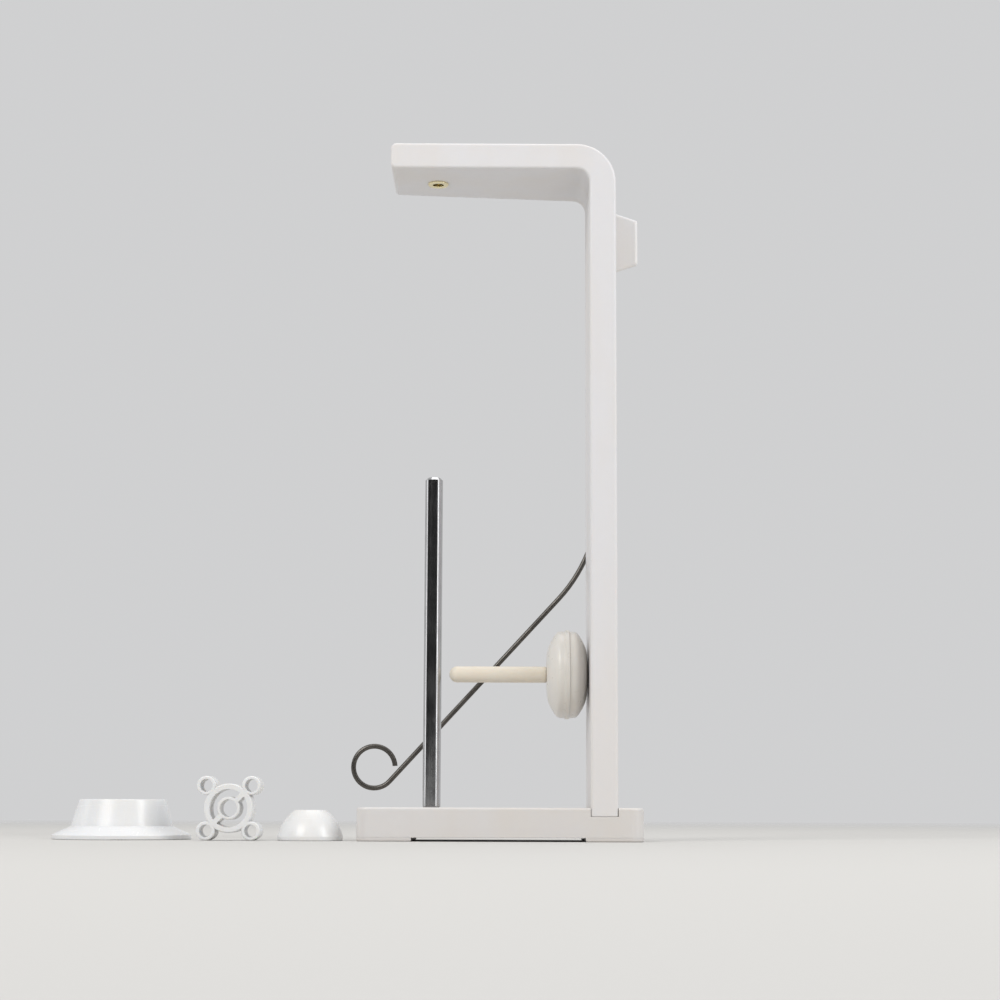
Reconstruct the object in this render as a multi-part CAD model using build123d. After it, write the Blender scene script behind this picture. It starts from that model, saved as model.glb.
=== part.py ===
from build123d import *
import math
import os

# Thread rack, in millimetres. X runs from the spool rod to the post, Y from the front to the back,
# and Z up. The origin is on the table under the middle of the base.

# Base moulding, open below, with a slot across its deck for the post
base_length = 98.2
base_depth = 44.0
base_height = 11.5
rim_height = 1.3
base_wall = 2.2
base_deck = 2.6
base_corner_radius = 4.5
base_edge_radius = 0.8
slot_depth = 3.0
slot_clearance = 0.05
slot_block_wall = 2.4
slot_floor = 4.0
boss_radius = 3.0
boss_inset = 4.8

# Feet, plates that close the ends of the base from below
left_foot_length = 18.8
right_foot_length = 20.0
foot_plug_clearance = 0.2
foot_plug_height = 2.9
foot_edge_radius = 0.5
weight_overlap = 3.0
weight_thickness = 4.0
weight_clearance = 0.5

# Post and arm, one bar
frame_height = 245.8
post_thickness = 9.4
post_inset = 8.9
frame_depth = 39.0
arm_thickness = 9.2
arm_past_rod = 15.6
arm_tip_depth = 31.3
outer_bend_radius = 14.0
inner_bend_radius = 4.6
arm_tip_radius = 1.8
frame_edge_radius = 0.9
frame_foot_chamfer = 0.25

# Spool rod, its turned-down foot and the boss that holds it
rod_radius = 3.175
rod_foot_radius = 2.6
rod_from_left = 24.9
rod_top = 128.5
rod_socket_depth = 7.9
rod_socket_clearance = 0.06
rod_boss_radius = 5.4
rod_boss_floor = 1.6
rod_top_chamfer = 0.9
rod_foot_chamfer = 0.4
rod_shoulder_chamfer = 0.4

# Eyelet in the arm
eyelet_bore_radius = 2.0
eyelet_barrel_radius = 2.7
eyelet_flange_radius = 3.7
eyelet_flange_height = 0.7
eyelet_fit = 0.05
eyelet_forward = 3.7
eyelet_past_rod = 0.7
eyelet_roll_share = 0.6

# Block on the post and the screws through it
block_below_top = 29.7
block_length = 9.1
block_half_root = 11.5
block_half_end = 8.5
block_under_rise = 4.7
block_front = 1.0
block_edge_radius = 1.1
block_screw_spread = 3.5
block_screw_rise = 0.7
block_screw_from_front = 4.6
block_screw_reach = 6.8

# Wire guide, its turning screw and washers
wire_radius = 0.9
wire_side_gap = 0.1
washer_thickness = 0.6
washer_radius = 4.2
shoulder_radius = 2.2
shoulder_fit = 0.08
pivot_head_radius = 3.7
pivot_head_height = 2.2
pivot_thread_reach = 8.0
eye_arc = 280.0
wire_lean = 20.0
wire_fold = 42.6
wire_fold_height = 103.0
wire_bend_radius = 55.0
wire_loop_height = 20.8
loop_radius = 7.5
loop_arc = 314.0

# Sideways spool pin and its collar
pin_radius = 2.87
pin_height = 58.2
pin_rod_gap = 2.8
pin_tip_radius = 2.75
pin_root_radius = 2.5
pin_shoulder_chamfer = 0.3
pin_socket_depth = 7.4
pin_socket_clearance = 0.08
pin_end_gap = 0.4
snap_radius = 2.95
snap_length = 1.4
snap_from_end = 2.2
collar_radius = 15.7
collar_half = 7.2
collar_edge_half = 0.7
collar_hub_radius = 4.0
collar_gap = 0.3
collar_shoulder_shares = ((0.62, 0.90), (0.87, 0.62), (0.97, 0.34))

# Screws
screw_radius = 1.45
screw_pilot_clearance = 0.05
screw_hole_clearance = 0.2
screw_point_length = 1.8
screw_head_radius = 2.7
screw_head_height = 1.6
screw_head_clearance = 0.15
screw_recess_width = 0.9
screw_recess_depth = 0.9
foot_screw_reach = 5.6
frame_screw_reach = 20.0
frame_screw_spread = 10.0

# Loose adapters, in a row beside the base
adapter_gap = 5.4

# Large cone adapter
large_radius = 24.4
large_height = 14.0
large_rim_height = 1.6
large_step_radius = 17.9
large_step_height = 4.6
large_top_radius = 15.2
large_window_radius = 14.0
large_hub_radius = 7.4
large_sleeve_radius = 5.5
large_wall = 1.5
large_rib_depth = 5.0
large_rib_width = 1.5
large_rib_count = 16
large_edge_radius = 0.35
large_y = 10.0

# Small domed adapter
small_radius = 11.3
small_height = 10.5
small_rim_height = 1.4
small_top_radius = 5.4
small_wall = 1.5
small_shoulder_share = 0.84
small_turn = 12.0
small_edge_radius = 0.4
small_y = -8.0

# Bore with four key slots, shared by both cone adapters
cone_bore_radius = 3.5
cone_slot_reach = 4.7
cone_slot_width = 1.05
cone_slot_count = 4
cone_slot_start = 33.0

# Adapter with four corner tubes
lobed_height = 10.0
lobed_ring_radius = 8.4
lobed_ring_wall = 1.9
lobed_hub_radius = 3.95
lobed_bore_radius = 2.98
lobed_web_width = 1.7
lobed_tube_offset = 7.75
lobed_tube_radius = 3.25
lobed_tube_bore = 2.2
lobed_edge = 0.3
lobed_y = -9.0

# How far a cutting shape runs past what it cuts
overrun = 2.0

# Places worked out from the sizes above
half_turn = 180.0
quarter_turn = 90.0
full_turn = 360.0
base_left = -base_length / 2
base_right = base_length / 2
base_front = -base_depth / 2
post_right = base_right - post_inset
post_left = post_right - post_thickness
post_middle = (post_left + post_right) / 2
frame_front = base_front
frame_back = frame_front + frame_depth
frame_middle = (frame_front + frame_back) / 2
arm_under = frame_height - arm_thickness
slot_bottom = base_height - slot_depth
slot_block_bottom = slot_bottom - slot_floor
cavity_top = base_height - base_deck
plug_top = rim_height + foot_plug_height
rod_x = base_left + rod_from_left
rod_foot = base_height - rod_socket_depth
arm_tip = rod_x - arm_past_rod
eyelet_x = rod_x + eyelet_past_rod
eyelet_y = -eyelet_forward
block_height = frame_height - block_below_top
block_end = post_right + block_length
pivot_x = (post_right + block_end) / 2
first_washer_back = frame_back + washer_thickness
wire_y = first_washer_back + wire_side_gap + wire_radius
second_washer_front = wire_y + wire_radius + wire_side_gap
pivot_head_front = second_washer_front + washer_thickness
eye_radius = shoulder_radius + shoulder_fit + wire_radius
pin_tip = rod_x + rod_radius + pin_rod_gap
pin_socket_end = post_left + pin_socket_depth
collar_x = post_left - collar_gap - collar_half
slot_block_left = post_left - slot_clearance - slot_block_wall
slot_block_right = post_right + slot_clearance + slot_block_wall
left_foot_inner = base_left + left_foot_length
right_foot_inner = base_right - right_foot_length
left_plug_inner = min(left_foot_inner, rod_x - rod_boss_radius - weight_clearance)
weight_left = left_plug_inner - weight_overlap
weight_right = slot_block_left - weight_clearance
right_plug_inner = min(right_foot_inner, weight_right - weight_overlap)
weight_bottom = plug_top
lobed_half = lobed_tube_offset + lobed_tube_radius
small_x = base_left - adapter_gap - small_radius
lobed_x = small_x - small_radius - adapter_gap - lobed_half
large_x = lobed_x - lobed_half - adapter_gap - large_radius


def block_between(low, high):
    """A box from its low corner to its high corner."""
    size = [high[i] - low[i] for i in range(len(low))]
    middle = [(high[i] + low[i]) / 2 for i in range(len(low))]
    return Pos(*middle) * Box(*size)


def rod_between(x, y, low, high, radius):
    """An upright round bar or hole."""
    return Pos(x, y, (low + high) / 2) * Cylinder(radius, high - low)


def front_prism(face, back, front):
    """A front-view outline, drawn in X and Z, run from back to front."""
    plane = Plane(origin=(0, back, 0), x_dir=(1, 0, 0), z_dir=(0, -1, 0))
    return extrude(plane * face, amount=back - front)


def plan_slab(length, depth, low, high, corner):
    """A slab with round upright corners, about the middle of the base."""
    return Pos(0, 0, low) * extrude(RectangleRounded(length, depth, corner), amount=high - low)


def cross_recess(top):
    """The cross in a screw's head, cut down from its top."""
    arm = Box(2 * screw_radius + screw_recess_width, screw_recess_width, screw_recess_depth)
    cross = arm + Rot(0, 0, quarter_turn) * arm
    return Pos(0, 0, top - screw_recess_depth / 2) * cross


def pointed_shank(reach):
    """A screw's shank below its head, with its point down."""
    straight = reach - screw_point_length
    shank = rod_between(0, 0, -straight, 0, screw_radius)
    point = Pos(0, 0, -straight - screw_point_length / 2) * Cone(
        screw_radius, screw_radius / 3, screw_point_length, rotation=(half_turn, 0, 0))
    return shank + point


def flat_head_screw(reach):
    """A countersunk screw with its head's top at zero and its point down."""
    head = Pos(0, 0, -screw_head_height / 2) * Cone(
        screw_radius, screw_head_radius, screw_head_height)
    return head + Pos(0, 0, -screw_head_height) * pointed_shank(reach - screw_head_height) \
        - cross_recess(0)


def pan_head_screw(reach):
    """A pan-head screw seated at zero with its point down."""
    head = rod_between(0, 0, 0, screw_head_height, screw_head_radius)
    head = fillet(head.edges().sort_by(Axis.Z)[-1], screw_head_height / 2)
    return head + pointed_shank(reach) - cross_recess(screw_head_height)


def foot_screw_places():
    """Where the feet are screwed up into the base, by end."""
    side = base_depth / 2 - base_wall - boss_inset / 2
    left = base_left + boss_inset
    right = base_right - boss_inset
    return [(left, -side), (left, side)], [(right, -side), (right, side)]


def frame_screw_places():
    """Where the post is screwed down onto the base, from below."""
    return [(post_middle, frame_middle - frame_screw_spread),
            (post_middle, frame_middle + frame_screw_spread)]


def block_screw_places():
    """Front-to-back and up-and-down places of the block's screws."""
    y = block_front + block_screw_from_front
    middle = block_height + block_screw_rise
    return [(y, middle - block_screw_spread), (y, middle + block_screw_spread)]


def base_shell():
    """The hollow base: deck, walls, post slot, rod boss and screw bosses."""
    shell = plan_slab(base_length, base_depth, rim_height, base_height, base_corner_radius)
    shell = fillet(shell.edges().group_by(Axis.Z)[-1], base_edge_radius)
    cavity = plan_slab(base_length - 2 * base_wall, base_depth - 2 * base_wall,
                       rim_height - overrun, cavity_top, base_corner_radius - base_wall / 2)
    shell -= cavity
    inner_front = base_front + base_wall / 2
    shell += block_between((slot_block_left, inner_front, slot_block_bottom),
                           (slot_block_right, -inner_front, cavity_top))
    shell += rod_between(rod_x, 0, rod_foot - rod_boss_floor, cavity_top, rod_boss_radius)
    for x, y in foot_screw_places()[0] + foot_screw_places()[1]:
        shell += rod_between(x, y, plug_top, cavity_top, boss_radius)
    shell -= block_between((post_left - slot_clearance, frame_front - overrun, slot_bottom),
                           (post_right + slot_clearance, frame_back + slot_clearance,
                            base_height + overrun))
    shell -= rod_between(rod_x, 0, rod_foot, base_height + overrun,
                         rod_foot_radius + rod_socket_clearance)
    pilot = screw_radius + screw_pilot_clearance
    pilot_top = plug_top + foot_screw_reach - foot_plug_height
    for x, y in foot_screw_places()[0] + foot_screw_places()[1]:
        shell -= rod_between(x, y, plug_top - overrun, pilot_top, pilot)
    for x, y in frame_screw_places():
        shell -= rod_between(x, y, slot_block_bottom - overrun, slot_bottom + overrun,
                             screw_radius + screw_hole_clearance)
        shell -= countersink(x, y, slot_block_bottom)
    return shell


def countersink(x, y, face):
    """The tapered seat of a flat-head screw that goes up into a face."""
    grown = screw_head_radius + screw_head_clearance
    seat = Cone(grown, screw_radius + screw_head_clearance, screw_head_height)
    return Pos(x, y, face + screw_head_height / 2) * seat


def foot(inner, outer, plug_inner, screw_places):
    """A foot plate, its plug inside the base and its screw seats."""
    low, high = min(inner, outer), max(inner, outer)
    plate = plan_slab(base_length, base_depth, 0, rim_height, base_corner_radius)
    plate &= block_between((low, base_front, 0), (high, -base_front, rim_height))
    plate = fillet(plate.edges().group_by(Axis.Z)[0], foot_edge_radius)
    plug = plan_slab(base_length - 2 * (base_wall + foot_plug_clearance),
                     base_depth - 2 * (base_wall + foot_plug_clearance),
                     rim_height, plug_top, base_corner_radius - base_wall / 2)
    reach_low, reach_high = min(plug_inner, outer), max(plug_inner, outer)
    plug &= block_between((reach_low, base_front, rim_height), (reach_high, -base_front, plug_top))
    piece = plate + plug
    for x, y in screw_places:
        piece -= rod_between(x, y, -overrun, plug_top + overrun, screw_radius + screw_hole_clearance)
        piece -= countersink(x, y, 0)
    return piece


def left_foot():
    return foot(left_foot_inner, base_left, left_plug_inner, foot_screw_places()[0])


def right_foot():
    return foot(right_foot_inner, base_right, right_plug_inner, foot_screw_places()[1])


def base_weight():
    """A steel plate that lies on the plugs of both feet, round the rod's boss."""
    half = base_depth / 2 - base_wall - weight_clearance
    plate = block_between((weight_left, -half, weight_bottom),
                          (weight_right, half, weight_bottom + weight_thickness))
    plate -= rod_between(rod_x, 0, weight_bottom - overrun,
                         weight_bottom + weight_thickness + overrun,
                         rod_boss_radius + weight_clearance)
    return plate


def foot_screws():
    """Four countersunk screws, up through the feet into the base."""
    screws = []
    for x, y in foot_screw_places()[0] + foot_screw_places()[1]:
        screws.append(Pos(x, y, 0) * Rot(half_turn, 0, 0) * flat_head_screw(foot_screw_reach))
    return Compound(children=screws)


def frame_screws():
    """Two countersunk screws, up through the slot's floor into the post."""
    screws = []
    for x, y in frame_screw_places():
        screw = Rot(half_turn, 0, 0) * flat_head_screw(frame_screw_reach)
        screws.append(Pos(x, y, slot_block_bottom) * screw)
    return Compound(children=screws)


def frame_bar():
    """The post and arm in one, with its tapered arm, bends, sockets and holes."""
    outline = make_face(Polyline(
        (post_left, slot_bottom), (post_right, slot_bottom), (post_right, frame_height),
        (arm_tip, frame_height), (arm_tip, arm_under), (post_left, arm_under), close=True))
    corners = {(post_right, frame_height): outer_bend_radius,
               (post_left, arm_under): inner_bend_radius,
               (arm_tip, frame_height): arm_tip_radius,
               (arm_tip, arm_under): arm_tip_radius}
    for place, radius in corners.items():
        nearest = outline.vertices().sort_by_distance((*place, 0))[0]
        outline = fillet(nearest, radius)
    bar = front_prism(outline, frame_back, frame_front)
    taper = make_face(Polyline(
        (post_left, frame_back), (arm_tip, frame_front + arm_tip_depth),
        (arm_tip - overrun, frame_front + arm_tip_depth),
        (arm_tip - overrun, frame_back + overrun), (post_left, frame_back + overrun), close=True))
    bar -= Pos(0, 0, arm_under - overrun) * extrude(taper, amount=arm_thickness + 2 * overrun)
    front_edges = bar.edges().group_by(Axis.Y)[0].sort_by(Axis.Z)[1:]
    bar = fillet(front_edges, frame_edge_radius)
    foot_edge = bar.edges().group_by(Axis.Z)[0].sort_by(Axis.Y)[0]
    bar = chamfer(foot_edge, frame_foot_chamfer)
    bar -= rod_between(eyelet_x, eyelet_y, arm_under - overrun, frame_height + overrun,
                       eyelet_barrel_radius + eyelet_fit)
    bar -= pin_socket()
    for x, y in frame_screw_places():
        bar -= rod_between(x, y, slot_bottom - overrun, slot_block_bottom + frame_screw_reach,
                           screw_radius + screw_pilot_clearance)
    for y, z in block_screw_places():
        depth = block_screw_reach + screw_pilot_clearance
        hole = Cylinder(screw_radius + screw_pilot_clearance, depth + overrun,
                        rotation=(0, quarter_turn, 0))
        bar -= Pos(post_right + (overrun - depth) / 2, y, z) * hole
    return bar


def turned_pin(places):
    """A shape turned about the sideways pin's axis, from (x, radius) places."""
    points = [(x, 0, pin_height + radius) for x, radius in places]
    closed = points + [(places[-1][0], 0, pin_height), (places[0][0], 0, pin_height)]
    return revolve(make_face(Polyline(*closed, close=True)), Axis((0, 0, pin_height), (1, 0, 0)))


def snap_places(grow):
    """The snap ring of the pin's end, or its groove when grown."""
    ring_end = pin_socket_end - pin_end_gap - snap_from_end + grow
    ring_start = ring_end - snap_length - 2 * grow
    ramp = snap_radius - pin_root_radius
    return [(ring_start, pin_root_radius + grow), (ring_start + ramp, snap_radius + grow),
            (ring_end - ramp, snap_radius + grow), (ring_end, pin_root_radius + grow)]


def pin_socket():
    """The blind hole in the post for the pin, with its snap groove."""
    places = [(post_left - overrun, pin_root_radius + pin_socket_clearance)]
    places += snap_places(pin_socket_clearance)
    places += [(pin_socket_end, pin_root_radius + pin_socket_clearance)]
    return turned_pin(places)


def side_spool_pin():
    """The sideways pin: round tip, shaft, shoulder on the collar, and snap ring in the post."""
    shoulder = collar_x - collar_half
    end = pin_socket_end - pin_end_gap
    places = [(pin_tip, pin_radius), (shoulder - pin_shoulder_chamfer, pin_radius),
              (shoulder, pin_radius - pin_shoulder_chamfer), (shoulder, pin_root_radius)]
    shaft = turned_pin(places + snap_places(0) + [(end, pin_root_radius)])
    shaft = fillet(shaft.edges().sort_by(Axis.X)[0], pin_tip_radius)
    return chamfer(shaft.edges().sort_by(Axis.X)[-1], pin_shoulder_chamfer)


def side_pin_collar():
    """The domed collar on the pin, alike on both sides."""
    half_side = [(collar_half, collar_hub_radius)]
    for radius_share, half_share in collar_shoulder_shares:
        half_side.append((collar_half * half_share, collar_radius * radius_share))
    half_side.append((collar_edge_half, collar_radius))
    right = [(collar_x + half, 0, pin_height + radius) for half, radius in half_side]
    left = [(collar_x - half, 0, pin_height + radius) for half, radius in half_side]
    face_right = Spline(*right, tangents=((0, 0, 1), (0, 0, 1)), tangent_scalars=(1, 1))
    face_left = Spline(*left, tangents=((0, 0, 1), (0, 0, 1)), tangent_scalars=(1, 1))
    bore_right = (collar_x + collar_half, 0, pin_height + pin_root_radius)
    bore_left = (collar_x - collar_half, 0, pin_height + pin_root_radius)
    outline = make_face([face_right, Line(right[-1], left[-1]), face_left,
                         Line(left[0], bore_left), Line(bore_left, bore_right),
                         Line(bore_right, right[0])])
    return revolve(outline, Axis((0, 0, pin_height), (1, 0, 0)))


def spool_rod():
    """The polished rod, standing on its shoulder with its turned-down foot in the base."""
    rod = rod_between(rod_x, 0, base_height, rod_top, rod_radius)
    rod = chamfer(rod.edges().sort_by(Axis.Z)[-1], rod_top_chamfer)
    rod = chamfer(rod.edges().sort_by(Axis.Z)[0], rod_shoulder_chamfer)
    foot_bar = rod_between(rod_x, 0, rod_foot, base_height, rod_foot_radius)
    return rod + chamfer(foot_bar.edges().sort_by(Axis.Z)[0], rod_foot_chamfer)


def thread_eyelet():
    """A brass eyelet with a rolled flange on both faces of the arm."""
    sleeve = rod_between(eyelet_x, eyelet_y, arm_under, frame_height, eyelet_barrel_radius)
    for low in (arm_under - eyelet_flange_height, frame_height):
        sleeve += rod_between(eyelet_x, eyelet_y, low, low + eyelet_flange_height, eyelet_flange_radius)
    rims = sleeve.edges().group_by(Axis.Z)
    sleeve = fillet(rims[0] + rims[-1], eyelet_flange_height * eyelet_roll_share)
    sleeve -= rod_between(eyelet_x, eyelet_y, arm_under - overrun, frame_height + overrun,
                          eyelet_bore_radius)
    mouths = sleeve.edges().group_by(Axis.Z)
    return fillet(mouths[0] + mouths[-1], eyelet_flange_height / 2)


def guide_block():
    """The tapered block on the post's right face that carries the wire's pivot."""
    outlines = []
    for y, rise in ((block_front, 0), (frame_back, block_under_rise)):
        outlines.append(make_face(Polyline(
            (post_right, y, block_height - block_half_root + rise),
            (block_end, y, block_height - block_half_end + rise),
            (block_end, y, block_height + block_half_end),
            (post_right, y, block_height + block_half_root), close=True)))
    piece = loft(outlines, ruled=True)
    outer = [e for e in piece.edges() if e.center().X > post_right + block_edge_radius]
    piece = fillet(outer, block_edge_radius)
    for y, z in block_screw_places():
        shank = Cylinder(screw_radius + screw_hole_clearance, block_length + overrun,
                         rotation=(0, quarter_turn, 0))
        piece -= Pos(pivot_x, y, z) * shank
        head = Cylinder(screw_head_radius + screw_head_clearance, screw_head_height + overrun,
                        rotation=(0, quarter_turn, 0))
        piece -= Pos(block_end + (overrun - screw_head_height) / 2, y, z) * head
    pilot = Cylinder(screw_radius + screw_pilot_clearance, pivot_thread_reach + overrun,
                     rotation=(quarter_turn, 0, 0))
    return piece - Pos(pivot_x, frame_back + (overrun - pivot_thread_reach) / 2,
                       block_height) * pilot


def guide_block_screws():
    """Two pan-head screws, in from the right through the block into the post."""
    screws = []
    seat = block_end - screw_head_height
    reach = seat - post_right + block_screw_reach
    for y, z in block_screw_places():
        screw = Rot(0, quarter_turn, 0) * pan_head_screw(reach)
        screws.append(Pos(seat, y, z) * screw)
    return Compound(children=screws)


def guide_pivot_screw():
    """The shoulder screw on which the wire turns, in from the back."""
    shoulder = pivot_head_front - frame_back
    screw = rod_between(0, 0, 0, pivot_head_height, pivot_head_radius)
    screw = fillet(screw.edges().sort_by(Axis.Z)[-1], pivot_head_height / 2)
    screw += rod_between(0, 0, -shoulder, 0, shoulder_radius)
    screw += Pos(0, 0, -shoulder) * pointed_shank(pivot_thread_reach)
    screw -= cross_recess(pivot_head_height)
    return Pos(pivot_x, pivot_head_front, block_height) * Rot(-quarter_turn, 0, 0) * screw


def guide_washers():
    """A flat washer on each side of the wire's eye."""
    washers = []
    for front in (frame_back, second_washer_front):
        ring = Cylinder(washer_radius, washer_thickness, rotation=(quarter_turn, 0, 0))
        ring -= Cylinder(shoulder_radius + shoulder_fit, washer_thickness + overrun,
                         rotation=(quarter_turn, 0, 0))
        washers.append(Pos(pivot_x, front + washer_thickness / 2, block_height) * ring)
    return Compound(children=washers)


def polar(centre, radius, degrees):
    """A point of the wire's plane at an angle from +X towards +Z."""
    turn = math.radians(degrees)
    return (centre[0] + radius * math.cos(turn), wire_y, centre[1] + radius * math.sin(turn))


def guide_wire():
    """The bent wire: eye on the screw, fold behind the post, end loop."""
    pivot = (pivot_x, block_height)
    leave = half_turn - wire_lean
    eye = ThreePointArc(polar(pivot, eye_radius, leave - eye_arc),
                        polar(pivot, eye_radius, leave - eye_arc / 2),
                        polar(pivot, eye_radius, leave))
    start = eye @ 1
    lean = math.tan(math.radians(wire_lean))
    fold = math.tan(math.radians(wire_fold))
    upper = (post_middle, wire_y, start.Z - (start.X - post_middle) / lean)
    lower = (post_middle, wire_y, wire_fold_height)
    drop = wire_fold_height - wire_loop_height
    end = (post_middle - drop * fold, wire_y, wire_loop_height)
    run = FilletPolyline(tuple(start), upper, lower, end, radius=wire_bend_radius)
    turn = math.radians(half_turn - wire_fold)
    centre = (end[0] + loop_radius * math.cos(turn), end[2] + loop_radius * math.sin(turn))
    first = -wire_fold
    loop = ThreePointArc(polar(centre, loop_radius, first),
                         polar(centre, loop_radius, first - loop_arc / 2),
                         polar(centre, loop_radius, first - loop_arc))
    path = Wire([eye, *run.edges(), loop])
    section = Plane(origin=path @ 0, z_dir=path % 0) * Circle(wire_radius)
    return sweep(section, path=path)


def key_slotted_bore(top, start):
    """The bore of a cone adapter with its four key slots, as a cutting shape."""
    bore = rod_between(0, 0, -overrun, top + overrun, cone_bore_radius)
    for index in range(cone_slot_count):
        turn = start + index * full_turn / cone_slot_count
        slot = block_between((0, -cone_slot_width / 2, -overrun),
                             (cone_slot_reach, cone_slot_width / 2, top + overrun))
        bore += Rot(0, 0, turn) * slot
    return bore


def large_cone_adapter():
    """A stepped cone with a spoked top, a flange, and a long sleeve for the rod."""
    places = [(large_sleeve_radius, 0), (large_sleeve_radius, large_height - large_wall),
              (large_window_radius, large_height - large_wall),
              (large_step_radius - large_wall, large_step_height - large_wall),
              (large_radius - large_wall, large_rim_height - large_wall / 2),
              (large_radius - large_wall, 0), (large_radius, 0),
              (large_radius, large_rim_height), (large_step_radius, large_step_height),
              (large_top_radius, large_height), (0, large_height), (0, 0)]
    outline = make_face(Polyline(*[(r, 0, z) for r, z in places], close=True))
    rounded = [v for v in outline.vertices() if v.X > large_top_radius - large_edge_radius]
    cone = revolve(fillet(rounded, large_edge_radius), Axis.Z)
    window = rod_between(0, 0, large_height - large_wall - overrun, large_height + overrun,
                         large_window_radius)
    window -= rod_between(0, 0, large_height - large_wall - overrun, large_height + overrun,
                          large_hub_radius)
    cone -= window
    for index in range(large_rib_count):
        turn = (index + 1 / 2) * full_turn / large_rib_count
        rib = block_between((large_sleeve_radius - large_wall, -large_rib_width / 2,
                             large_height - large_rib_depth),
                            ((large_window_radius + large_top_radius) / 2, large_rib_width / 2,
                             large_height))
        cone += Rot(0, 0, turn) * rib
    cone -= key_slotted_bore(large_height, cone_slot_start)
    return Pos(large_x, large_y, 0) * cone


def small_cone_adapter():
    """A smooth hollow dome with a sleeve for the rod."""
    rise = (small_height + small_rim_height) / 2
    outside = ThreePointArc((small_radius, 0, small_rim_height),
                            (small_radius * small_shoulder_share, 0, rise),
                            (small_top_radius, 0, small_height))
    lines = Polyline((small_top_radius, 0, small_height), (0, 0, small_height), (0, 0, 0),
                     (small_top_radius, 0, 0), (small_top_radius, 0, small_height - 2 * small_wall))
    inner_share = small_shoulder_share * (1 - small_wall / small_radius)
    inside = ThreePointArc((small_top_radius, 0, small_height - 2 * small_wall),
                           (small_radius * inner_share, 0, rise - small_wall),
                           (small_radius - small_wall, 0, small_rim_height / 2))
    foot_line = Polyline((small_radius - small_wall, 0, small_rim_height / 2),
                         (small_radius - small_wall, 0, 0), (small_radius, 0, 0),
                         (small_radius, 0, small_rim_height))
    outline = make_face([outside, *lines.edges(), inside, *foot_line.edges()])
    rounded = [v for v in outline.vertices() if v.X > small_radius - small_edge_radius
               or v.Z > small_height - small_edge_radius and v.X > 0]
    dome = revolve(fillet(rounded, small_edge_radius), Axis.Z)
    dome -= key_slotted_bore(small_height, small_turn)
    return Pos(small_x, small_y, 0) * dome


def edged_rod(x, y, high, radius, edge):
    """An upright round bar from zero up, with its top edge chamfered."""
    bar = rod_between(x, y, 0, high, radius)
    return chamfer(bar.edges().sort_by(Axis.Z)[-1], edge)


def lobed_spool_adapter():
    """A ring with a hub on two webs and a tube at each corner, standing on two of its tubes."""
    body = edged_rod(0, 0, lobed_height, lobed_ring_radius, lobed_edge)
    tubes = [(sx * lobed_tube_offset, sy * lobed_tube_offset) for sx in (-1, 1) for sy in (-1, 1)]
    for x, y in tubes:
        body += edged_rod(x, y, lobed_height, lobed_tube_radius, lobed_edge)
    body -= rod_between(0, 0, -overrun, lobed_height + overrun, lobed_ring_radius - lobed_ring_wall)
    reach = lobed_ring_radius - lobed_ring_wall / 2
    web = block_between((-reach, -lobed_web_width / 2, 0), (reach, lobed_web_width / 2, lobed_height))
    body += Rot(0, 0, quarter_turn / 2) * web
    body += edged_rod(0, 0, lobed_height, lobed_hub_radius, lobed_edge)
    body -= rod_between(0, 0, -overrun, lobed_height + overrun, lobed_bore_radius)
    for x, y in tubes:
        body -= rod_between(x, y, -overrun, lobed_height + overrun, lobed_tube_bore)
    standing = Rot(quarter_turn, 0, 0) * body
    return Pos(lobed_x, lobed_y + lobed_height / 2, lobed_half) * standing


nodes = [base_shell, left_foot, right_foot, base_weight, foot_screws, frame_bar, frame_screws,
         spool_rod, thread_eyelet, guide_block, guide_block_screws, guide_pivot_screw,
         guide_washers, guide_wire, side_spool_pin, side_pin_collar, large_cone_adapter,
         small_cone_adapter, lobed_spool_adapter]

os.makedirs("parts", exist_ok=True)
for node in nodes:
    piece = node()
    export_step(piece, "parts/" + node.__name__ + ".step")
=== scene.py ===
import bpy
import math
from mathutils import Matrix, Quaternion, Vector

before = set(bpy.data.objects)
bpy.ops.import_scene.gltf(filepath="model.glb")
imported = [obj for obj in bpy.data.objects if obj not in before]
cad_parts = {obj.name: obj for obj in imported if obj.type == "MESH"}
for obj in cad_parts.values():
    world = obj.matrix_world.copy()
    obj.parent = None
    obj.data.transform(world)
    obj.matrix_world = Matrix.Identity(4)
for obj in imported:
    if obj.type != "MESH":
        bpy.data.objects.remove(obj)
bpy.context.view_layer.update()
MM = 0.001


# Base
# The base is one hollow moulding in warm white polystyrene, satin, with a fine moulded grain.
# It comes from a two-part mould, is open below, and carries everything else on its deck.
BASE_WHITE = (0.672, 0.652, 0.642)
BASE_ROUGHNESS = 0.32
BASE_GRAIN = 0.35 * MM
MASK_SAMPLES = 6


def tree_of(name):
    """A new material with only its output and shader, and its node tree."""
    material = bpy.data.materials.new(name)
    material.use_nodes = True
    tree = material.node_tree
    tree.nodes.clear()
    shader = tree.nodes.new("ShaderNodeBsdfPrincipled")
    output = tree.nodes.new("ShaderNodeOutputMaterial")
    tree.links.new(shader.outputs["BSDF"], output.inputs["Surface"])
    return material, tree, shader


def put(tree, kind, settings=None, **inputs):
    """A new node with its settings and inputs; an input that is a socket is linked."""
    made = tree.nodes.new(kind)
    for key, value in (settings or {}).items():
        setattr(made, key, value)
    for key, value in inputs.items():
        socket = made.inputs[int(key[1:])] if key[0] == "i" and key[1:].isdigit() \
            else made.inputs[key.replace("_", " ")]
        if isinstance(value, bpy.types.NodeSocket):
            tree.links.new(value, socket)
        else:
            socket.default_value = value
    return made


def maths(tree, operation, first, second, clamp=False):
    """One sum, difference or product, as a socket."""
    return put(tree, "ShaderNodeMath", {"operation": operation, "use_clamp": clamp},
               i0=first, i1=second).outputs[0]


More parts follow.
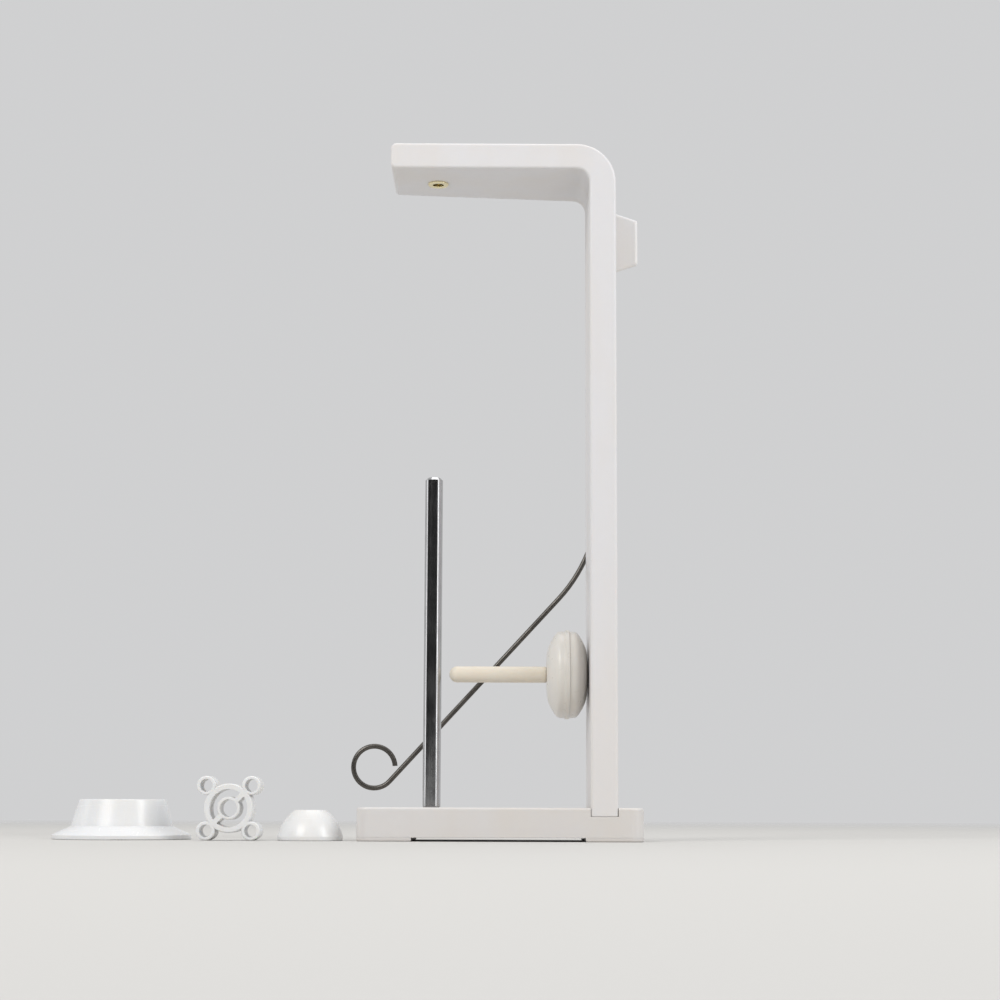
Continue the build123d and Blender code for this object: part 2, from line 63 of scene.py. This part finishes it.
def scaled(tree, value, share):
    """A value times a plain number, as a socket."""
    return maths(tree, "MULTIPLY", value, share)


def spread(tree, value, low, high, to_low=0.0, to_high=1.0):
    """A value carried smoothly from one range to another, as a socket."""
    return put(tree, "ShaderNodeMapRange", {"interpolation_type": "SMOOTHSTEP"}, Value=value,
               From_Min=low, From_Max=high, To_Min=to_low, To_Max=to_high).outputs["Result"]


def noise(tree, place, size, detail=3.0, roughness=0.55, distortion=0.0):
    """A three-dimensional noise whose features are about that size, in metres."""
    return put(tree, "ShaderNodeTexNoise", Vector=place, Scale=1 / size, Detail=detail,
               Roughness=roughness, Distortion=distortion).outputs["Fac"]


def place_of(tree, stretch=(1, 1, 1)):
    """The point on the piece in its own frame, stretched along each axis."""
    point = put(tree, "ShaderNodeTexCoord").outputs["Object"]
    return put(tree, "ShaderNodeVectorMath", {"operation": "MULTIPLY"}, i0=point,
               i1=stretch).outputs["Vector"]


def softened(tree, radius):
    """The surface's normal as if its edges had that radius, as a socket."""
    return put(tree, "ShaderNodeBevel", {"samples": MASK_SAMPLES}, Radius=radius).outputs["Normal"]


def edge_mask(tree, radius):
    """One along sharp outer edges, zero on flats: how far a rounded normal leaves the true one."""
    soft = softened(tree, radius)
    true = put(tree, "ShaderNodeNewGeometry").outputs["Normal"]
    same = put(tree, "ShaderNodeVectorMath", {"operation": "DOT_PRODUCT"}, i0=soft,
               i1=true).outputs["Value"]
    return spread(tree, maths(tree, "SUBTRACT", 1.0, same), low=0.02, high=0.22)


def crevice_mask(tree, reach):
    """One deep in corners and joints, zero in the open."""
    open_share = put(tree, "ShaderNodeAmbientOcclusion", {"samples": MASK_SAMPLES},
                     Distance=reach).outputs["AO"]
    return maths(tree, "SUBTRACT", 1.0, open_share)


def mixed(tree, share, first, second):
    """Two colours mixed by a share, as a socket."""
    made = put(tree, "ShaderNodeMix", {"data_type": "RGBA"}, Factor=share)
    for socket, value in zip((made.inputs[6], made.inputs[7]), (first, second)):
        if isinstance(value, bpy.types.NodeSocket):
            tree.links.new(value, socket)
        else:
            socket.default_value = (*value, 1.0)
    return made.outputs[2]


def dulled(colour, shares):
    """A colour with each of its three parts multiplied by its own share."""
    return tuple(part * share for part, share in zip(colour, shares))


def moulded_plastic(name, colour, roughness, grain, edge=0.3 * MM, scatter=0.10, scuffs=0.5):
    """Moulded plastic: flow marks, fine grain, soft edges, faint scuffs, dark specks, and painted
    shade in the corners.
    """
    flow_size, mottle_size, speck_size, shade_reach = 28 * MM, 2.6 * MM, 0.55 * MM, 2.2 * MM
    dim = dulled(colour, (0.93, 0.93, 0.93))
    warm = dulled(colour, (0.99, 0.965, 0.925))
    # This darker colour serves both the real dark specks and the painted shade in corners and
    # joints.
    grime_and_shade = dulled(colour, (0.60, 0.57, 0.53))
    bright = dulled(colour, (1.08, 1.08, 1.08))
    material, tree, shader = tree_of(name)
    here = place_of(tree)

    flow = noise(tree, place_of(tree, (1, 1, 0.35)), flow_size, detail=4.0)
    mottle = noise(tree, here, mottle_size, detail=5.0)
    speck = spread(tree, noise(tree, here, speck_size, detail=1.0), low=0.735, high=0.80)
    rubbed = edge_mask(tree, edge * 1.6)
    body = mixed(tree, spread(tree, flow, low=0.38, high=0.66), colour, warm)
    body = mixed(tree, scaled(tree, mottle, 0.45), body, dim)
    # Painted shade: the body darkens towards the darker colour in corners and joints, as far as the
    # occlusion test reaches.
    body = mixed(tree, scaled(tree, crevice_mask(tree, shade_reach), 0.34), body, grime_and_shade)
    body = mixed(tree, scaled(tree, speck, 0.22), body, grime_and_shade)
    body = mixed(tree, scaled(tree, rubbed, 0.35), body, bright)
    tree.links.new(body, shader.inputs["Base Color"])

    upright = noise(tree, place_of(tree, (1, 1, 14)), 7 * MM, 6.0, 0.62, distortion=1.2)
    across = noise(tree, place_of(tree, (16, 1, 1)), 9 * MM, 6.0, 0.62, distortion=1.0)
    scratches = maths(tree, "ADD", scaled(tree, spread(tree, upright, low=0.60, high=0.66), 0.5),
                      scaled(tree, spread(tree, across, low=0.62, high=0.67), 0.5))
    rough = maths(tree, "ADD", roughness - 0.05, scaled(tree, mottle, 0.12))
    rough = maths(tree, "ADD", rough, scaled(tree, scratches, 0.16 * scuffs))
    rough = maths(tree, "SUBTRACT", rough, scaled(tree, rubbed, 0.10), clamp=True)
    tree.links.new(rough, shader.inputs["Roughness"])

    height = maths(tree, "ADD", noise(tree, here, grain, detail=2.0), scaled(tree, flow, 2.2))
    height = maths(tree, "SUBTRACT", height, scaled(tree, scratches, 0.6 * scuffs))
    bump = put(tree, "ShaderNodeBump", Strength=0.35, Distance=0.012 * MM, Height=height,
               Normal=softened(tree, edge))
    tree.links.new(bump.outputs["Normal"], shader.inputs["Normal"])
    shader.inputs["IOR"].default_value = 1.49
    shader.inputs["Subsurface Weight"].default_value = scatter
    shader.inputs["Subsurface Radius"].default_value = (1.6, 1.3, 1.0)
    shader.inputs["Subsurface Scale"].default_value = 0.9 * MM
    return material


def dress(node, material):
    """Gives a piece its material in place of the plain one it comes with."""
    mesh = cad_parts[node].data
    mesh.materials.clear()
    mesh.materials.append(material)


dress("base_shell", moulded_plastic("base_satin_white", BASE_WHITE, BASE_ROUGHNESS, BASE_GRAIN))


# Feet
# Two plates close the ends of the base from below and lift the rim clear of the table.
# They are moulded in the same white, a shade greyer where they have rubbed on table tops.
FOOT_WHITE = (0.655, 0.632, 0.618)
foot_white = moulded_plastic("foot_rubbed_white", FOOT_WHITE, roughness=0.46, grain=0.3 * MM,
                             scuffs=1.0)
for foot in ("left_foot", "right_foot"):
    dress(foot, foot_white)


# Weight
# A sheared steel plate lies inside the base, on the plugs of both feet, to keep the rack steady.
# It is bare dark steel with its mill scale, and shows only from below.
SCALE_DARK = (0.055, 0.056, 0.060)
SCALE_LIGHT = (0.13, 0.12, 0.115)


def mill_steel(name):
    """Dark rolled steel with patches of scale."""
    material, tree, shader = tree_of(name)
    patch = noise(tree, place_of(tree), 9 * MM, detail=6.0, roughness=0.7)
    tree.links.new(mixed(tree, spread(tree, patch, low=0.42, high=0.6), SCALE_DARK, SCALE_LIGHT),
                   shader.inputs["Base Color"])
    tree.links.new(spread(tree, patch, low=0.3, high=0.7, to_low=0.45, to_high=0.72),
                   shader.inputs["Roughness"])
    bump = put(tree, "ShaderNodeBump", Strength=0.4, Distance=0.03 * MM,
               Height=noise(tree, place_of(tree), 0.8 * MM, detail=4.0))
    tree.links.new(bump.outputs["Normal"], shader.inputs["Normal"])
    shader.inputs["Metallic"].default_value = 0.85
    return material


dress("base_weight", mill_steel("weight_mill_steel"))


# Post and arm
# The post and the arm are one bent bar, moulded solid in bright white plastic with rounded edges.
# It stands in the base's slot, screwed up from below, and its joint shows as a fine line.
FRAME_WHITE = (0.722, 0.713, 0.725)
dress("frame_bar", moulded_plastic("frame_bright_white", FRAME_WHITE, roughness=0.36,
                                   grain=0.42 * MM, edge=0.35 * MM, scuffs=0.7))


# Spool rod
# A length of drawn and polished steel bar, chamfered at its top, stands on its shoulder in the base.
# Drawing leaves fine lines along it, and handling leaves duller patches.
ROD_STEEL = (0.56, 0.56, 0.57)


def polished_steel(name, colour, smooth, worn, stretch, line, dull=0.5):
    """Bare steel with lines drawn along one direction and duller handled patches."""
    material, tree, shader = tree_of(name)
    drawn = noise(tree, place_of(tree, stretch), line, detail=5.0, roughness=0.65)
    patch = noise(tree, place_of(tree), 11 * MM, detail=4.0, roughness=0.6)
    dark = dulled(colour, (0.66, 0.66, 0.66))
    tree.links.new(mixed(tree, scaled(tree, spread(tree, patch, low=0.45, high=0.75), dull),
                         colour, dark), shader.inputs["Base Color"])
    rough = maths(tree, "ADD", scaled(tree, drawn, 0.12),
                  spread(tree, patch, low=0.35, high=0.7, to_low=smooth, to_high=worn))
    tree.links.new(rough, shader.inputs["Roughness"])
    bump = put(tree, "ShaderNodeBump", Strength=0.25, Distance=0.01 * MM, Height=drawn)
    tree.links.new(bump.outputs["Normal"], shader.inputs["Normal"])
    shader.inputs["Metallic"].default_value = 1.0
    return material


dress("spool_rod", polished_steel("rod_drawn_steel", ROD_STEEL, smooth=0.04, worn=0.12,
                                  stretch=(1, 1, 0.02), line=0.35 * MM))


# Eyelet
# A pressed brass eyelet lines the hole in the arm, its flange rolled over on both faces.
# Thread keeps its throat bright, and the rim is a little tarnished where it meets the plastic.
BRASS = (0.90, 0.81, 0.54)
BRASS_TARNISH = (0.60, 0.51, 0.28)


def pressed_brass(name):
    """Bright pressed brass, tarnished in its corners."""
    material, tree, shader = tree_of(name)
    patch = noise(tree, place_of(tree), 1.6 * MM, detail=5.0)
    stain = maths(tree, "ADD", scaled(tree, crevice_mask(tree, 0.8 * MM), 0.35),
                  spread(tree, patch, low=0.55, high=0.8, to_high=0.35), clamp=True)
    tree.links.new(mixed(tree, stain, BRASS, BRASS_TARNISH), shader.inputs["Base Color"])
    tree.links.new(spread(tree, patch, low=0.3, high=0.7, to_low=0.16, to_high=0.34),
                   shader.inputs["Roughness"])
    bump = put(tree, "ShaderNodeBump", Strength=0.3, Distance=0.01 * MM,
               Height=noise(tree, place_of(tree), 0.3 * MM, detail=3.0))
    tree.links.new(bump.outputs["Normal"], shader.inputs["Normal"])
    shader.inputs["Metallic"].default_value = 1.0
    return material


dress("thread_eyelet", pressed_brass("eyelet_brass"))


# Guide block
# A small tapered block, moulded in white, is screwed to the post's right side near the top.
# It sits back from the front and carries the wire guide's turning screw on its rear face.
# Its white is painted lighter than the frame's, as painted light, to make up for the shade the post
# casts on it.
BLOCK_LIT_WHITE = (0.800, 0.790, 0.795)
dress("guide_block", moulded_plastic("block_lit_white", BLOCK_LIT_WHITE, roughness=0.34,
                                     grain=0.35 * MM))


# Screws and washers
# Zinc-plated steel screws hold the feet, the post and the block, and the wire turns on one more.
# Plating is even and pale, with a driver's rub marks about the crossed recesses.
ZINC = (0.60, 0.60, 0.59)
zinc_plate = polished_steel("screw_zinc", ZINC, smooth=0.24, worn=0.40, stretch=(1, 1, 1),
                            line=0.5 * MM, dull=0.7)
for fastener in ("foot_screws", "frame_screws", "guide_block_screws", "guide_pivot_screw",
                 "guide_washers"):
    dress(fastener, zinc_plate)


# Wire guide
# One length of hard spring wire, coiled to an eye at the top and a thread loop at its end.
# It is folded down behind the post, held by the washers, and is dark from its heat treatment.
WIRE_STEEL = (0.130, 0.122, 0.112)
dress("guide_wire", polished_steel("wire_spring_steel", WIRE_STEEL, smooth=0.26, worn=0.42,
                                   stretch=(1, 1, 1), line=0.8 * MM, dull=0.8))


# Sideways pin
# A pin moulded in natural nylon pushes into the post, with a round tip for loading spools.
# The nylon is cream and a little translucent.
NYLON_CREAM = (0.745, 0.690, 0.598)
dress("side_spool_pin", moulded_plastic("pin_natural_nylon", NYLON_CREAM, roughness=0.42,
                                        grain=0.3 * MM, scatter=0.35, scuffs=0.8))


# Collar
# A full round collar is held between the pin's shoulder and the post, and spools rest against it.
# It is moulded in white, glossier than the frame, and parts around its widest edge.
# Its white is painted a little darker and warmer than the frame's, as painted shade and a painted
# warm reflection.
COLLAR_SHADED_WHITE = (0.715, 0.698, 0.668)
dress("side_pin_collar", moulded_plastic("collar_gloss_shaded_white", COLLAR_SHADED_WHITE, roughness=0.28,
                                         grain=0.4 * MM, scatter=0.2))


# Loose adapters
# Three adapters let the rod and the pin carry cones and spools with larger bores.
# They are moulded in glossy cool white and stand loose on the table beside the rack.
ADAPTER_WHITE = (0.765, 0.775, 0.790)
adapter_white = moulded_plastic("adapter_gloss_white", ADAPTER_WHITE, roughness=0.24,
                                grain=0.4 * MM, edge=0.22 * MM, scatter=0.15, scuffs=0.6)
for adapter in ("large_cone_adapter", "small_cone_adapter", "lobed_spool_adapter"):
    dress(adapter, adapter_white)


# Stage
# A pale studio table fades into a pale backdrop, and keeps the soft shadow under the rack.
# A dark card round the front gives the steel its dark middle, and two strip lights its bright edges.
TABLE_GREY = (0.60, 0.590, 0.570)
BACKDROP = (0.630, 0.632, 0.638)
AMBIENT = 0.62
TABLE_RADIUS = 4.0
TABLE_FADE = (0.30, 1.30)
TABLE_DROP = 0.02 * MM


def table_top():
    """A round table in rings, so that its fade is smooth."""
    sides, rings = 96, 24
    verts = [(0.0, 0.0, 0.0)]
    for ring in range(1, rings + 1):
        radius = TABLE_RADIUS * (ring / rings) ** 2
        for side in range(sides):
            turn = 2 * math.pi * side / sides
            verts.append((radius * math.cos(turn), radius * math.sin(turn), 0.0))
    faces = [(0, 1 + side, 1 + (side + 1) % sides) for side in range(sides)]
    for ring in range(rings - 1):
        inner, outer = 1 + ring * sides, 1 + (ring + 1) * sides
        for side in range(sides):
            after = (side + 1) % sides
            faces.append((inner + side, outer + side, outer + after, inner + after))
    mesh = bpy.data.meshes.new("table_top")
    mesh.from_pydata(verts, [], faces)
    made = bpy.data.objects.new("table_top", mesh)
    bpy.context.scene.collection.objects.link(made)
    made.location.z = -TABLE_DROP
    return made


def table_finish():
    """Matt pale laminate that turns clear towards its rim, so the backdrop takes over."""
    material, tree, shader = tree_of("table_laminate")
    point = place_of(tree)
    away = put(tree, "ShaderNodeVectorMath", {"operation": "LENGTH"}, i0=point).outputs["Value"]
    grain = scaled(tree, noise(tree, point, 1.4 * MM, detail=3.0), 0.12)
    tree.links.new(mixed(tree, grain, TABLE_GREY, dulled(TABLE_GREY, (0.9, 0.9, 0.9))),
                   shader.inputs["Base Color"])
    shader.inputs["Roughness"].default_value = 0.72
    clear = tree.nodes.new("ShaderNodeBsdfTransparent")
    share = spread(tree, away, *TABLE_FADE)
    join = put(tree, "ShaderNodeMixShader", i0=share, i1=shader.outputs["BSDF"],
               i2=clear.outputs["BSDF"])
    output = [n for n in tree.nodes if n.type == "OUTPUT_MATERIAL"][0]
    tree.links.new(join.outputs["Shader"], output.inputs["Surface"])
    return material


table = table_top()
table.data.materials.append(table_finish())


def dark_panel():
    """A curved dark card round the front and left, which only reflections see."""
    away, height, left, right, steps = 1.7, 0.85, -82.0, 50.0, 24
    verts, faces = [], []
    for step in range(steps + 1):
        turn = math.radians(left + (right - left) * step / steps)
        x, y = away * math.sin(turn), -away * math.cos(turn)
        verts += [(x, y, 0.0), (x, y, height)]
    for step in range(steps):
        low = 2 * step
        faces.append((low, low + 2, low + 3, low + 1))
    mesh = bpy.data.meshes.new("dark_panel")
    mesh.from_pydata(verts, [], faces)
    made = bpy.data.objects.new("dark_panel", mesh)
    bpy.context.scene.collection.objects.link(made)
    material, tree, shader = tree_of("panel_black")
    shader.inputs["Base Color"].default_value = (0.02, 0.02, 0.02, 1.0)
    shader.inputs["Roughness"].default_value = 0.9
    made.data.materials.append(material)
    made.visible_camera = False
    made.visible_shadow = False
    made.visible_diffuse = False
    return made


dark_panel()

world = bpy.data.worlds.new("pale_studio")
bpy.context.scene.world = world
world.use_nodes = True
sky = world.node_tree
sky.nodes.clear()
seen = put(sky, "ShaderNodeBackground", Color=(*BACKDROP, 1.0), Strength=1.0)
fill = put(sky, "ShaderNodeBackground", Color=(1.0, 1.0, 1.0, 1.0), Strength=AMBIENT)
ray = put(sky, "ShaderNodeLightPath")
chosen = put(sky, "ShaderNodeMixShader", i0=ray.outputs["Is Camera Ray"],
             i1=fill.outputs[0], i2=seen.outputs[0])
put(sky, "ShaderNodeOutputWorld", Surface=chosen.outputs[0])


MIDDLE = (0.0, 0.0, 0.12)


def soft_light(name, place, size, power, tint=(1.0, 1.0, 1.0)):
    """A large studio light at a place, aimed at the middle of the rack."""
    lamp = bpy.data.lights.new(name, "AREA")
    lamp.shape = "RECTANGLE"
    lamp.size, lamp.size_y = size
    lamp.energy = power
    lamp.color = tint
    made = bpy.data.objects.new(name, lamp)
    bpy.context.scene.collection.objects.link(made)
    made.location = place
    made.rotation_euler = (Vector(MIDDLE) - Vector(place)).to_track_quat("-Z", "Y").to_euler()


soft_light("key_light", place=(-0.75, -0.95, 0.95), size=(0.7, 0.7), power=8.6,
           tint=(1.0, 0.985, 0.965))
soft_light("right_light", place=(0.95, -0.55, 0.75), size=(0.5, 0.6), power=5.0,
           tint=(0.97, 0.985, 1.0))
soft_light("top_light", place=(0.1, 0.25, 1.3), size=(0.9, 0.9), power=4.2)
soft_light("left_strip", place=(-0.92, 0.05, 0.35), size=(0.18, 0.7), power=0.4)
soft_light("right_strip", place=(0.84, -0.45, 0.35), size=(0.14, 0.7), power=0.6)


# Camera
# The photograph looks straight on at the rack from just above the table's height.
# Its frame is shifted up, as a crop of a wider view is.
CAMERA_PLACE = (1.10 * MM, -698.34 * MM, 10.90 * MM)
CAMERA_PITCH = 7.777
CAMERA_TURN = 0.154
CAMERA_ROLL = 0.194
SENSOR_WIDTH = 36.0
FOCAL_SHARE = 1.9727
SHIFT = (-0.0098, 0.040)
NEAREST, FARTHEST = 0.01, 50.0
camera_data = bpy.data.cameras.new("photo_camera")
camera_data.sensor_width = SENSOR_WIDTH
camera_data.lens = SENSOR_WIDTH * FOCAL_SHARE
camera_data.shift_x, camera_data.shift_y = SHIFT
camera_data.clip_start, camera_data.clip_end = NEAREST, FARTHEST
camera = bpy.data.objects.new("photo_camera", camera_data)
bpy.context.scene.collection.objects.link(camera)
camera.location = CAMERA_PLACE
pitch, turn = math.radians(CAMERA_PITCH), math.radians(CAMERA_TURN)
ahead = Vector((math.sin(turn) * math.cos(pitch), math.cos(turn) * math.cos(pitch),
                math.sin(pitch)))
camera.rotation_mode = "QUATERNION"
roll = Quaternion((0, 0, 1), math.radians(CAMERA_ROLL))
camera.rotation_quaternion = ahead.to_track_quat("-Z", "Y") @ roll
bpy.context.scene.camera = camera
bpy.context.scene.view_settings.view_transform = "Standard"
